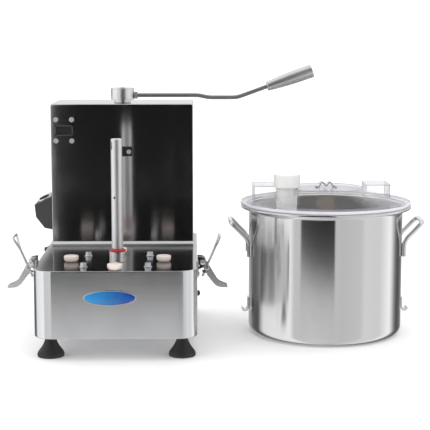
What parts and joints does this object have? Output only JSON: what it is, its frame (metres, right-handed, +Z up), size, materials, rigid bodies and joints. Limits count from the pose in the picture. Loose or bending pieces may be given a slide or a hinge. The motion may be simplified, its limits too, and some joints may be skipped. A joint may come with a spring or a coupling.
{
  "type": "bowl cutter",
  "caption": "Table-top bowl cutter: belt-driven base with motor tower, spindle and lid lever, beside its lift-off steel bowl with blades, clear lid and feed stopper.",
  "frame": {"origin": "middle of the footprint's bounding box, on the table that the feet and the bowl stand on", "axes": "+X from the machine towards the parked bowl, +Y from the front to the back, +Z up"},
  "size_m": [0.742, 0.4288, 0.4876],
  "materials": {
    "stainless_brushed": "fine horizontal brushed grain",
    "stainless_polished": "polished, near mirror",
    "chrome_parts": "bright plated",
    "satin_steel": "satin, slightly worn",
    "black_rubber": "matt moulded rubber",
    "cream_plastic": "moulded, slightly pink cream",
    "red_rubber": "satin silicone",
    "grey_plastic": "fine textured moulding",
    "black_plastic": "satin moulding",
    "white_plastic": "smooth turned plastic",
    "clear_plastic": "clear moulding with a faint lilac tint at its edges",
    "blue_enamel": "blue domed enamel with a thin bright rim",
    "motor_paint": "semi-gloss paint",
    "cast_aluminium": "as cast, machined faces"
  },
  "bodies": {
    "machine": {"base_housing": "stainless_brushed", "base_bottom_plate": "stainless_brushed", "tower_housing": "stainless_polished", "tower_back_cover": "stainless_brushed", "tower_foot_strip": "stainless_brushed", "lid_sensor_window": "black_plastic", "foot_front_left": "black_rubber", "foot_front_right": "black_rubber", "foot_rear_left": "black_rubber", "foot_rear_right": "black_rubber", "bowl_pad_front": "cream_plastic", "bowl_pad_rear": "cream_plastic", "bowl_pad_left": "cream_plastic", "bowl_pad_right": "cream_plastic", "deck_nut_front_left": "chrome_parts", "deck_nut_front_right": "chrome_parts", "deck_nut_rear_left": "chrome_parts", "deck_nut_rear_right": "chrome_parts", "shaft_collar": "stainless_polished", "shaft_seal": "red_rubber", "spindle_bearing_housing": "cast_aluminium", "drive_belt": "black_rubber", "motor_body": "motor_paint", "motor_plate": "satin_steel", "run_capacitor": "black_plastic", "switch_box": "grey_plastic", "bowl_sensor_block": "black_plastic", "side_plug": "black_plastic", "overload_reset": "black_plastic", "cable_gland": "black_plastic", "badge": "blue_enamel", "lever_bush": "satin_steel", "latch_bracket_left": "satin_steel", "latch_bracket_right": "satin_steel"},
    "main_shaft": {"drive_spindle": "stainless_polished", "spindle_pulley": "cast_aluminium"},
    "motor_rotor": {"motor_shaft_pulley": "cast_aluminium"},
    "lid_lever": {"lever_hub": "chrome_parts", "lever_nut": "satin_steel", "lever_rod": "chrome_parts", "lever_grip": "stainless_polished"},
    "latch_arm_left": {"latch_lever_left": "satin_steel"},
    "latch_arm_right": {"latch_lever_right": "satin_steel"},
    "bail_left": {"latch_bail_left": "satin_steel"},
    "bail_right": {"latch_bail_right": "satin_steel"},
    "stop_push": {"stop_button": "black_plastic"},
    "start_push": {"start_button": "white_plastic"},
    "bowl": {"bowl_shell": "stainless_polished", "bowl_handle_left": "stainless_polished", "bowl_handle_right": "stainless_polished", "bowl_catch_left": "stainless_brushed", "bowl_catch_right": "stainless_brushed"},
    "lid": {"lid_cover": "clear_plastic", "lid_gasket": "white_plastic", "lid_bracket": "stainless_polished"},
    "stopper": {"feed_stopper": "white_plastic"},
    "blades": {"blade_hub": "white_plastic", "blade_lower": "stainless_polished", "blade_upper": "stainless_polished"}
  },
  "joints": [
    {"name": "spindle_spin", "type": "hinge", "parent": "machine", "child": "main_shaft", "pos_m": [-0.17998, -0.1189, 0.2], "axis": [0, 0, 1], "continuous": true},
    {"name": "motor_spin", "type": "hinge", "parent": "machine", "child": "motor_rotor", "pos_m": [-0.17998, 0.1261, 0.15], "axis": [0, 0, 1], "continuous": true},
    {"name": "lid_lever_swing", "type": "hinge", "parent": "machine", "child": "lid_lever", "pos_m": [-0.17998, 0.0861, 0.431], "axis": [0, 0, 1], "range_deg": [-90, 30]},
    {"name": "latch_left_swing", "type": "hinge", "parent": "machine", "child": "latch_arm_left", "pos_m": [-0.32748, -0.1189, 0.1545], "axis": [0, 1, 0], "range_deg": [-8, 90]},
    {"name": "latch_right_swing", "type": "hinge", "parent": "machine", "child": "latch_arm_right", "pos_m": [-0.03248, -0.1189, 0.1545], "axis": [0, -1, 0], "range_deg": [-8, 90]},
    {"name": "bail_left_swing", "type": "hinge", "parent": "latch_arm_left", "child": "bail_left", "pos_m": [-0.33498, -0.1189, 0.143], "axis": [0, 1, 0], "range_deg": [-4, 14]},
    {"name": "bail_right_swing", "type": "hinge", "parent": "latch_arm_right", "child": "bail_right", "pos_m": [-0.02498, -0.1189, 0.143], "axis": [0, -1, 0], "range_deg": [-4, 14]},
    {"name": "stop_press", "type": "slide", "parent": "machine", "child": "stop_push", "axis": [0.4158, 0, -0.9095], "range_m": [0, 0.003], "stiffness_N_per_m": 600},
    {"name": "start_press", "type": "slide", "parent": "machine", "child": "start_push", "axis": [0.4158, 0, -0.9095], "range_m": [0, 0.003], "stiffness_N_per_m": 600},
    {"name": "bowl_lift", "type": "slide", "parent": "machine", "child": "bowl", "axis": [0, 0, 1], "range_m": [0, 0.08]},
    {"name": "lid_lift", "type": "slide", "parent": "bowl", "child": "lid", "axis": [0, 0, 1], "range_m": [0, 0.06]},
    {"name": "stopper_lift", "type": "slide", "parent": "lid", "child": "stopper", "axis": [0, 0, 1], "range_m": [0, 0.05]},
    {"name": "blade_spin", "type": "hinge", "parent": "bowl", "child": "blades", "pos_m": [0.19302, 0.0131, 0.11], "axis": [0, 0, 1], "continuous": true}
  ],
  "couplings": [
    {"joint": "motor_spin", "follows": "spindle_spin", "ratio": 1.6071}
  ]
}
